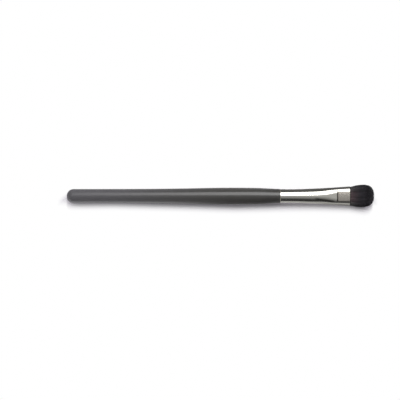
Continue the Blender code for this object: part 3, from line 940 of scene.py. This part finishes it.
def make_hair(hair_finish):
    tree = make_bristle_tree()
    layers = (
        ("inner_bristles", 0.0, OUTER_LAYER_FROM, INNER_HAIRS, 3),
        ("outer_bristles", OUTER_LAYER_FROM, 1.0, OUTER_HAIRS, 40),
    )
    for name, inner_rim, outer_rim, count, seed in layers:
        values = {"Hairs": count, "Inner Rim": inner_rim, "Outer Rim": outer_rim}
        values |= {"Seed": seed, "Material": hair_finish}
        bristles = grow(name, tree, values)
        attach(bristles, BODY)
        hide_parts("hair_tuft")


def dress_node(node, material):
    """A piece that keeps its own shape gets its finish."""
    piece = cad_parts[node]
    piece.data.materials.clear()
    piece.data.materials.append(material)


# Studio

CAMERA_DISTANCE = 1.075
CAMERA_LENS = 180.0
CAMERA_X = -0.01087
CAMERA_Y = -0.00206
STUDIO_RADIUS = 0.62
STUDIO_LENGTH = 0.66
LAMP_LENGTH = 1.8
CARD_LIFT = 0.0006


def stage_plane(name, width, depth, material):
    mesh = bpy.data.meshes.new(name)
    bm = bmesh.new()
    bmesh.ops.create_grid(bm, x_segments=1, y_segments=1, size=0.5)
    bmesh.ops.scale(bm, vec=(width, depth, 1.0), verts=bm.verts)
    bm.to_mesh(mesh)
    bm.free()
    mesh.materials.append(material)
    return placed(name, mesh)


def pale_table():
    """White table that takes the brush's shadow, with painted light laid over that shadow beyond an
    outline along the brush and closer in on the lit +Y side; plain white far from it, and clear from
    below.
    """
    material, tree, shader = new_finish("pale_table")
    butt_shift = 0.0005
    tip_shift = 0.0025
    shadow_from, shadow_to = 0.0001, 0.0058
    lit_side_from, lit_side_to = -0.002, 0.002
    lit_side_lead = 0.0042
    mirrored_grey_to, mirrored_white_from = 0.008, 0.045
    put(shader, "Base Color", (0.93, 0.895, 0.97, 1.0))
    put(shader, "Roughness", 0.9)
    put(shader, "Specular IOR Level", 0.0)
    here = parts_of(tree, object_place(tree))
    x = here["X"]
    # Painted light: past these half widths the camera sees white emission laid over the real shadow,
    # so the shadow ends where they say.
    shadow_half_widths = (
        (BUTT_X, 0.0027),
        (0.7 * BUTT_X, 0.0025),
        (0.25 * BUTT_X, 0.0036),
        (BELLY_X, 0.0045),
        (FERRULE_BACK_X, 0.0041),
        (TENON_END_X, 0.0039),
        (MOUTH_X, 0.0043),
        (MOUTH_X + HAIR_BULGE, 0.0056),
    )
    straight_edge = through_stops(tree, x, shadow_half_widths)
    dome = remap(tree, x, MOUTH_X + HAIR_BULGE, HAIR_TIP_X)
    butt = remap(tree, x, BUTT_X + BUTT_RADIUS - butt_shift, BUTT_X - butt_shift)
    ending = calc(tree, "POWER", calc(tree, "MAXIMUM", dome, butt), DOME_SQUARENESS)
    left = calc(tree, "POWER", minus(tree, 1.0, ending), 1 / DOME_SQUARENESS)
    edge = times(tree, straight_edge, left)
    beside = minus(tree, calc(tree, "ABSOLUTE", here["Y"]), edge)
    past_butt = minus(tree, BUTT_X, x)
    past_tip = minus(tree, x, HAIR_TIP_X - tip_shift)
    away = calc(tree, "MAXIMUM", beside, calc(tree, "MAXIMUM", past_butt, past_tip))
    # The painted light reaches closer to the brush on the lit +Y side.
    on_lit_side = remap(tree, here["Y"], lit_side_from, lit_side_to, 0.0, lit_side_lead)
    past_shadow = plus(tree, away, on_lit_side)
    painted_white_over_shadow = remap(tree, past_shadow, shadow_from, shadow_to, smooth=True)
    far_white = remap(tree, away, mirrored_grey_to, mirrored_white_from, smooth=True)
    light_path = add(tree, "ShaderNodeLightPath")
    to_camera = times(tree, light_path.outputs["Is Camera Ray"], painted_white_over_shadow)
    to_gloss = times(tree, mirrored(tree, light_path), far_white)
    white = add(tree, "ShaderNodeEmission", {"Color": WHITE, "Strength": 1.0})
    mixed = add(tree, "ShaderNodeMixShader", {0: plus(tree, to_camera, to_gloss)})
    tree.links.new(shader.outputs["BSDF"], mixed.inputs[1])
    tree.links.new(white.outputs["Emission"], mixed.inputs[2])
    backfacing = add(tree, "ShaderNodeNewGeometry").outputs["Backfacing"]
    seen_from_below = times(tree, light_path.outputs["Is Camera Ray"], backfacing)
    clear = add(tree, "ShaderNodeBsdfTransparent")
    top_only = add(tree, "ShaderNodeMixShader", {0: seen_from_below})
    tree.links.new(mixed.outputs["Shader"], top_only.inputs[1])
    tree.links.new(clear.outputs["BSDF"], top_only.inputs[2])
    tree.links.new(top_only.outputs["Shader"], tree.nodes["Material Output"].inputs["Surface"])
    table = stage_plane("pale_table", 8.0, 8.0, material)
    table.location = (0.0, 0.0, FLOOR_Z)


def glow_material(name, across, along=((0.0, 0.0),)):
    """A glow by stops of (y, glow) across a card and (x, glow added) along it."""
    material = bpy.data.materials.new(name)
    material.use_nodes = True
    tree = material.node_tree
    tree.nodes.remove(tree.nodes["Principled BSDF"])
    place = parts_of(tree, object_place(tree))
    graded_across = through_stops(tree, place["Y"], across)
    graded_along = through_stops(tree, place["X"], along)
    darkest = 0.02
    graded = calc(tree, "MAXIMUM", plus(tree, graded_across, graded_along), darkest)
    glow = add(tree, "ShaderNodeEmission", {"Color": WHITE, "Strength": graded})
    tree.links.new(glow.outputs["Emission"], tree.nodes["Material Output"].inputs["Surface"])
    return material


def studio_card(name, glow, length, width):
    """A card that only the brush's reflections show."""
    card = stage_plane(name, length, width, glow)
    show_in_gloss_only(card)
    return card


def show_in_gloss_only(card):
    card.visible_camera = False
    card.visible_diffuse = False
    card.visible_shadow = False
    card.visible_transmission = False


def cut_card(name, corners, glow):
    """A card cut to these corners."""
    mesh = bpy.data.meshes.new(name)
    mesh.from_pydata(corners, [], [tuple(range(len(corners)))])
    mesh.materials.append(glow)
    show_in_gloss_only(placed(name, mesh))


def head_card():
    """A small card that stands beside the head on the -Y side, and rises toward it."""
    height = 0.036
    aside = -0.05
    back_x = TENON_END_X - 0.006
    outline = [(back_x, 0.0), (2 * MOUTH_X, 0.0), (2 * MOUTH_X, height), (MOUTH_X, height)]
    corners = [(x, aside, FLOOR_Z + z) for x, z in outline]
    cut_card("head_card", corners, glow_material("head_card", [(0.0, 0.40)]))


def head_scrim():
    """A scrim over the head's -Y side, darker low down and toward its front."""
    radius = 0.58
    corners = []
    for degrees, x in ((-50.0, 0.080), (-50.0, 0.33), (0.0, 0.33), (0.0, 0.105)):
        lean = math.radians(degrees)
        corners.append((x, radius * math.sin(lean), AXIS_Z + radius * math.cos(lean)))
    across = [(corners[0][1], -0.12), (-0.30, -0.045), (0.0, 0.40)]
    along = [(0.080, 0.27), (0.106, 0.07), (0.180, 0.10), (0.220, 0.05)]
    cut_card("head_scrim", corners, glow_material("head_scrim", across, along))


def table_card(name, inner_y, front_inner_y, outer_y, glow):
    """A card just above the table; along the ferrule its inner edge goes over to front_inner_y."""
    z = FLOOR_Z + CARD_LIFT
    far_x = STUDIO_LENGTH / 2
    outline = [(-far_x, outer_y), (far_x, outer_y), (far_x, front_inner_y), (MOUTH_X, front_inner_y)]
    outline += [(FERRULE_BACK_X, inner_y), (-far_x, inner_y)]
    cut_card(name, [(x, y, z) for x, y in outline], glow)


def put_on_arc(obj, low_degrees, high_degrees):
    """Faces the brush from the middle of this stretch of the studio's arch, leaned toward +Y."""
    lean = math.radians((low_degrees + high_degrees) / 2)
    obj.location = (0.0, STUDIO_RADIUS * math.sin(lean), AXIS_Z + STUDIO_RADIUS * math.cos(lean))
    obj.rotation_euler = (-lean, 0.0, 0.0)


def arc_width(low_degrees, high_degrees):
    return 2 * STUDIO_RADIUS * math.tan(math.radians((high_degrees - low_degrees) / 2))


def arc_card(name, low_degrees, low_glow, high_degrees, high_glow, along=((0.0, 0.0),)):
    width = arc_width(low_degrees, high_degrees)
    glow = glow_material(name, [(-width / 2, low_glow), (width / 2, high_glow)], along)
    put_on_arc(studio_card(name, glow, STUDIO_LENGTH, width), low_degrees, high_degrees)


def arc_lamp(name, radiance, low_degrees, high_degrees):
    """A rectangular lamp of an even brightness, where 1 is white."""
    light = bpy.data.lights.new(name, "AREA")
    light.shape = "RECTANGLE"
    light.size = LAMP_LENGTH
    light.size_y = arc_width(low_degrees, high_degrees)
    light.energy = radiance * math.pi * light.size * light.size_y
    put_on_arc(placed(name, light), low_degrees, high_degrees)


def light_studio():
    """A broad soft light high on the +Y side, and cards that shape what the brush mirrors."""
    seen_butt_x = 1.5 * BUTT_X
    seen_belly_x = 0.03
    seen_ferrule_x = 1.6 * FERRULE_BACK_X
    fade = 0.006
    beside_ferrule = [
        (seen_ferrule_x - fade, 0.0),
        (seen_ferrule_x + fade, 0.87),
        (0.084, 0.87),
        (0.100, 0.20),
    ]
    arc_lamp("main_soft_box", 2.5, 14.0, 57.0)
    arc_card("side_card", 57.0, 0.08, 70.0, 0.08, beside_ferrule)
    beside_handle = [(seen_belly_x, 0.22), (seen_ferrule_x - fade, 0.0)]
    arc_card("low_flag", 70.0, 0.08, 92.0, 0.08, beside_handle)
    arc_card("overhead_scrim", -50.0, 0.03, 14.0, 0.56, [(seen_butt_x, 0.30), (seen_belly_x, 0.0)])
    arc_card("lower_flag", -92.0, 0.035, -50.0, 0.035, [(seen_butt_x, 1.0), (seen_belly_x, 0.0)])
    far_stops = [(FERRULE_BACK_X - fade, 0.45), (FERRULE_BACK_X, 0.12)]
    far_glow = glow_material("far_table_card", [(0.0, 0.0)], far_stops)
    table_card("far_table_card", 0.0065, 0.0065, STUDIO_RADIUS, far_glow)
    near_stops = [
        (BUTT_X, 3.3),
        (0.0, 0.34),
        (FERRULE_BACK_X - fade, 0.22),
        (FERRULE_BACK_X, 0.44),
        (TENON_END_X, 0.42),
        (MOUTH_X, 0.15),
    ]
    near_glow = glow_material("near_table_card", [(0.0, 0.0)], near_stops)
    table_card("near_table_card", -0.009, -0.0062, -STUDIO_RADIUS, near_glow)
    head_card()
    head_scrim()
    for name, side in (("front_flag", 1), ("back_flag", -1)):
        end_glow = glow_material(name, [(0.0, 0.45)])
        end_card = studio_card(name, end_glow, 4 * STUDIO_RADIUS, 4 * STUDIO_RADIUS)
        end_card.location = (side * STUDIO_LENGTH / 2, 0.0, 0.0)
        end_card.rotation_euler = (0.0, math.radians(90), 0.0)


def light_world():
    """White all round for the camera and for what is mirrored, and a dim even fill."""
    world = bpy.data.worlds.new("studio")
    bpy.context.scene.world = world
    world.use_nodes = True
    tree = world.node_tree
    for node in list(tree.nodes):
        tree.nodes.remove(node)
    light_path = add(tree, "ShaderNodeLightPath")
    on_camera = light_path.outputs["Is Camera Ray"]
    seen = calc(tree, "MAXIMUM", on_camera, mirrored(tree, light_path))
    fill = 0.25
    strength = remap(tree, seen, 0.0, 1.0, fill, 1.0)
    sky = add(tree, "ShaderNodeBackground", {"Color": WHITE, "Strength": strength})
    output = tree.nodes.new("ShaderNodeOutputWorld")
    tree.links.new(sky.outputs["Background"], output.inputs["Surface"])


def place_camera():
    """Straight overhead, with +Y up in the picture."""
    data = bpy.data.cameras.new("overhead_camera")
    data.lens = CAMERA_LENS
    data.sensor_width = 36.0
    data.clip_start = 0.01
    camera = placed("overhead_camera", data)
    camera.location = (CAMERA_X, CAMERA_Y, AXIS_Z + CAMERA_DISTANCE)
    bpy.context.scene.camera = camera


bpy.context.scene.view_settings.view_transform = "Standard"
mottle_group = make_mottle_group()
handling_group = make_handling_group()
make_handle(charcoal_lacquer(mottle_group, handling_group))
make_ferrule(bright_nickel(mottle_group, handling_group))
make_hair(dark_hair(mottle_group))
dress_node("root_plug", root_resin(mottle_group, handling_group))
dress_node("root_binding", binding_thread(mottle_group))
dress_node("tenon_glue", amber_glue(mottle_group, handling_group))
pale_table()
light_studio()
light_world()
place_camera()
